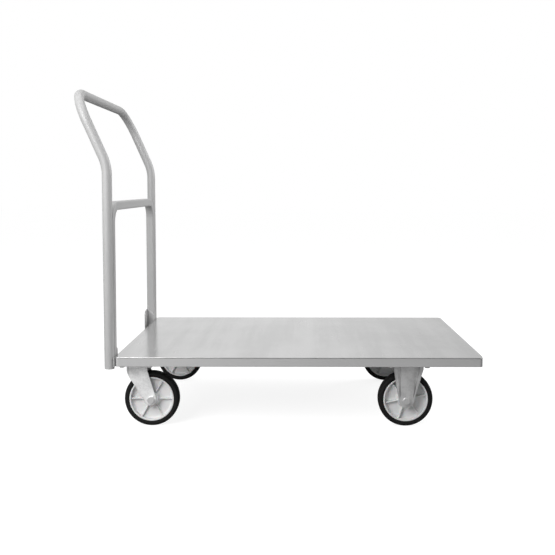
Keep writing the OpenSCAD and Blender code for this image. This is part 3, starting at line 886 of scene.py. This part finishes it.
@dataclass
class Wheel:
    """One wheel: a ribbed moulded core in a solid rubber tyre."""

    truck: Truck
    kind: CasterKind
    side: Side
    rib_turn: float = 0.0
    steps: int = 144
    bore: float = 12.05 * MM
    hub_face: float = 19.5 * MM
    hub_foot: float = 27.5 * MM
    web_half: float = 3.6 * MM
    rim_inner: float = 60.2 * MM
    lip: float = 1.3 * MM
    rib_half: float = 1.6 * MM
    rib_count: int = 6

    @property
    def tag(self) -> str:
        """The end of this wheel's node names."""
        return f"{self.kind.value}_{self.side.value}"

    @property
    def body(self) -> str:
        """The moving body that this wheel belongs to."""
        return f"wheel_{self.tag}"

    def build(self) -> None:
        """Replaces the plain core and tyre and dresses the bush."""
        self.truck.dress(f"bush_{self.tag}", BUSH_PLASTIC)
        self.place(
            f"core_{self.tag}",
            self.core_mesh(),
            WHEEL_PLASTIC,
            "wheel_core",
            "wheel_plastic",
            self.rib_turn,
        )
        self.place(f"tread_{self.tag}", self.tyre_mesh(), TYRE_RUBBER, "tyre", "tyre_rubber", 0.0)
        log.info("wheel %s: core with %d ribs, tyre and bush", self.tag, self.rib_count)

    def place(
        self,
        name: str,
        mesh: bpy.types.Mesh,
        finish: Finish,
        node: str,
        slot: str,
        turn: float,
    ) -> None:
        """Stands a turned mesh at this wheel's centre, facing outwards.

        Args:
            name: the new object's name.
            mesh: the mesh, turned about Z.
            finish: its finish.
            node: start of the CAD node's name that it replaces.
            slot: not used.
            turn: turn about the axle, in degrees.
        """
        cad = f"{node}_{self.tag}"
        centre = self.truck.middle(cad)
        spin = Matrix.Rotation(math.radians(turn), 4, "Z")
        face = Matrix.Rotation(math.radians(-90 * self.side.sign), 4, "X")
        mesh.transform(Matrix.Translation(centre) @ face @ spin)
        piece = new_object(name, mesh, finish)
        if node == "wheel_core":
            bevel = piece.modifiers.new("round ribs", "BEVEL")
            bevel.width = 0.5 * MM
            bevel.segments = 2
            bevel.angle_limit = math.radians(50)
            piece.modifiers.new("even shading", "WEIGHTED_NORMAL")
        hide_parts(cad)
        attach(piece, self.body)

    def core_mesh(self) -> bpy.types.Mesh:
        """Turns the hub, web and rim, and stands the ribs on both faces."""
        low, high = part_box(f"wheel_core_{self.tag}")
        half_hub = (high[1] - low[1]) / 2
        outer = (high[2] - low[2]) / 2
        half_rim = half_hub - 5.5 * MM
        web = self.web_half
        half = [(self.bore, half_hub - 0.8 * MM), (self.bore + 0.8 * MM, half_hub)]
        half += arc((self.hub_face - 1.5 * MM, half_hub - 1.5 * MM), 1.5 * MM, 90, 20, 4)
        half += [(self.hub_face + 1.6 * MM, half_rim - 5 * MM)]
        half += arc((self.hub_foot + 2 * MM, web + 6 * MM), 6 * MM, 195, 270, 6)
        half += [(self.rim_inner - 14 * MM, web + 0.2 * MM)]
        half += arc((self.rim_inner - 6 * MM, web + 6 * MM), 5.8 * MM, 270, 352, 6)
        half += [(self.rim_inner, half_rim - 2.2 * MM)]
        half += arc((self.rim_inner + 0.2 * MM + self.lip, half_rim - self.lip), self.lip, 180, 90, 4)
        half += arc((outer - 1.2 * MM, half_rim - 1.2 * MM), 1.2 * MM, 90, 0, 4)
        work = bmesh.new()
        lathe(work, mirrored(half), self.steps)
        for i in range(self.rib_count):
            for face in (1, -1):
                self.add_rib(work, 2 * math.pi * i / self.rib_count, face, half_rim)
        return mesh_from(f"core_{self.tag}", work)

    def add_rib(self, work: bmesh.types.BMesh, angle: float, face: int, half_rim: float) -> None:
        """Stands one drafted rib between the hub and the rim.

        Args:
            work: the bmesh that receives it.
            angle: direction from the axle, in radians.
            face: 1 for the outer face, -1 for the inner one.
            half_rim: height of the rim's edge.
        """
        foot = self.web_half - 1 * MM
        stations = (
            (self.hub_face - 2 * MM, half_rim - 4.5 * MM),
            (self.hub_foot + 6 * MM, half_rim - 6.0 * MM),
            (self.rim_inner - 8 * MM, half_rim - 5.2 * MM),
            (self.rim_inner + 1 * MM, half_rim - 3.6 * MM),
        )
        spin = Matrix.Rotation(angle, 3, "Z")
        sections = []
        for r, top in stations:
            corners = (
                (r, -self.rib_half * 1.5, foot), (r, -self.rib_half, top),
                (r, self.rib_half, top), (r, self.rib_half * 1.5, foot),
            )
            sections.append([work.verts.new(spin @ Vector((x, y, face * z))) for x, y, z in corners])
        for a, b in zip(sections, sections[1:]):
            for j in range(4):
                k = (j + 1) % 4
                work.faces.new((a[j], b[j], b[k], a[k]))
        work.faces.new(sections[0])
        work.faces.new(sections[-1])

    def tyre_mesh(self) -> bpy.types.Mesh:
        """Turns the tyre with a seat groove, round shoulders and a parting line."""
        low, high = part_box(f"tyre_{self.tag}")
        outer = (high[2] - low[2]) / 2
        half = (high[1] - low[1]) / 2
        inner = outer - 15 * MM
        shoulder = 8.5 * MM
        crown = outer - 0.35 * MM
        profile = [(inner, half - 1.6 * MM), (inner + 0.7 * MM, half - 0.6 * MM)]
        profile += [(inner + 1.6 * MM, half - 0.5 * MM), (inner + 2.6 * MM, half - 0.05 * MM)]
        profile += arc((crown - shoulder, half - shoulder), shoulder, 88, 8, 10)
        profile += [(crown + 0.1 * MM, 6 * MM), (outer - 0.1 * MM, 1.2 * MM)]
        profile += [(outer - 0.08 * MM, 0.45 * MM), (outer, 0.2 * MM)]
        work = bmesh.new()
        lathe(work, mirrored(profile), self.steps)
        return mesh_from(f"tread_{self.tag}", work)


@dataclass
class Caster:
    """One caster's mounting, fork or bracket, and axle."""

    truck: Truck
    kind: CasterKind
    side: Side
    sheet_round: float = 1.0 * MM

    def build(self) -> None:
        """Dresses the caster's nodes."""
        side = self.side.value
        if self.kind is CasterKind.SWIVEL:
            for part in ("swivel_plate", "fork"):
                soften(self.truck.dress(f"{part}_{side}", ZINC_SHEET), self.sheet_round, 3)
            for part in ("swivel_balls", "swivel_race"):
                self.truck.dress(f"{part}_{side}", RACE_STEEL)
            for part in ("kingpin", "kingpin_nut"):
                self.truck.dress(f"{part}_{side}", ZINC_FASTENER)
        else:
            # The fixed bracket wears the darker zinc copy, whose lower level is painted shade.
            soften(self.truck.dress(f"fixed_bracket_{side}", ZINC_SHADED), self.sheet_round, 3)
        for part in ("axle_bolt", "axle_nut"):
            soften(self.truck.dress(f"{part}_{self.kind.value}_{side}", ZINC_FASTENER), 0.35 * MM)
        self.truck.dress(f"spacer_{self.kind.value}_{side}", RACE_STEEL)
        log.info("caster %s %s: dressed", self.kind.value, side)


@dataclass
class CasterSet:
    """All four casters with their wheels and mounting bolts."""

    truck: Truck
    fixed_turn: float = 11.0

    def build(self) -> None:
        """Builds each caster, its wheel and the shared fasteners."""
        for kind in CasterKind:
            for side in Side:
                Caster(self.truck, kind, side).build()
                turned = -side.sign * self.fixed_turn if kind is CasterKind.FIXED else 0.0
                Wheel(self.truck, kind, side, rib_turn=turned).build()
        for name in ("caster_bolts", "caster_nuts"):
            soften(self.truck.dress(name, ZINC_FASTENER), 0.3 * MM)


# ---------------------------------------------------------------- stage


@dataclass
class StudioSet:
    """Pale floor, soft lights and the camera."""

    lens: float = 51.2
    camera_place: Point = (0.0600, -2.5621, 0.6960)
    pitch_down: float = 0.0623
    yaw: float = 0.0067
    shift: tuple[float, float] = (-0.0281, -0.073)
    floor_size: float = 40.0
    sky: float = 0.38
    backdrop: float = 0.83

    def camera(self) -> None:
        """Makes the camera, level with the handle and near the deck's middle."""
        data = bpy.data.cameras.new("camera")
        data.lens = self.lens
        data.sensor_width = 36.0
        data.shift_x, data.shift_y = self.shift
        made = bpy.data.objects.new("camera", data)
        made.location = self.camera_place
        made.rotation_euler = (math.pi / 2 - self.pitch_down, 0.0, self.yaw)
        bpy.context.scene.collection.objects.link(made)
        bpy.context.scene.camera = made

    def floor(self) -> None:
        """Lays the floor."""
        work = bmesh.new()
        bmesh.ops.create_grid(work, x_segments=4, y_segments=4, size=self.floor_size / 2)
        piece = new_object("studio_floor", mesh_from("studio_floor", work), FLOOR)

    def world(self) -> None:
        """Surrounds the set with soft light, brightest beyond the truck, and white where it is seen."""
        world = bpy.data.worlds.new("studio")
        bpy.context.scene.world = world
        world.use_nodes = True
        graph = Graph(world.node_tree)
        aim = graph.add("ShaderNodeSeparateXYZ")
        graph.feed(aim, 0, graph.add("ShaderNodeTexCoord").outputs["Generated"])
        beyond = graph.window(aim.outputs["Y"], 0.0, 0.9)
        fade = graph.window(aim.outputs["X"], -0.05, 0.35)
        level = graph.spread(beyond, self.sky, graph.spread(fade, self.backdrop, self.backdrop * 0.72))
        seen = graph.add("ShaderNodeLightPath").outputs["Is Camera Ray"]
        light = graph.add("ShaderNodeBackground")
        graph.feed(light, "Color", graph.blend(seen, level, grey(1.0)))
        graph.feed(graph.add("ShaderNodeOutputWorld"), "Surface", light.outputs[0])

    def area(self, name: str, place: Point, aim: Point, size: float, watts: float) -> None:
        """Hangs one soft square light.

        Args:
            name: the light's name.
            place: where it hangs.
            aim: what it points at.
            size: length of its side.
            watts: its power.
        """
        data = bpy.data.lights.new(name, "AREA")
        data.size = size
        data.energy = watts
        made = bpy.data.objects.new(name, data)
        made.location = place
        made.rotation_euler = (Vector(aim) - Vector(place)).to_track_quat("-Z", "Y").to_euler()
        bpy.context.scene.collection.objects.link(made)

    def lights(self) -> None:
        """Hangs a key light at the handle end, one overhead and a fill from the far end."""
        self.area("key", (-1.2, -1.75, 1.4), (-0.3, -0.3, 0.3), 1.3, 46.0)
        self.area("overhead", (-0.4, -0.5, 3.0), (-0.1, 0.0, 0.2), 2.4, 20.0)
        self.area("far fill", (2.0, 1.0, 1.5), (-0.48, 0.0, 0.6), 1.6, 46.0)

    def build(self) -> None:
        """Builds the floor, the world and the lights."""
        self.floor()
        self.world()
        self.lights()
        settings = bpy.context.scene.view_settings
        settings.view_transform = "Standard"
        log.info("studio: floor, world, three lights")


def main() -> None:
    """Builds the truck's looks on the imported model, piece by piece."""
    logging.basicConfig(level=logging.INFO, format="%(name)s: %(message)s")
    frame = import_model()
    studio = StudioSet()
    studio.camera()
    truck = Truck(frame["nodes"])
    Deck(truck).build()
    Handle(truck).build()
    CasterSet(truck).build()
    studio.build()


if __name__ == "__main__":
    main()
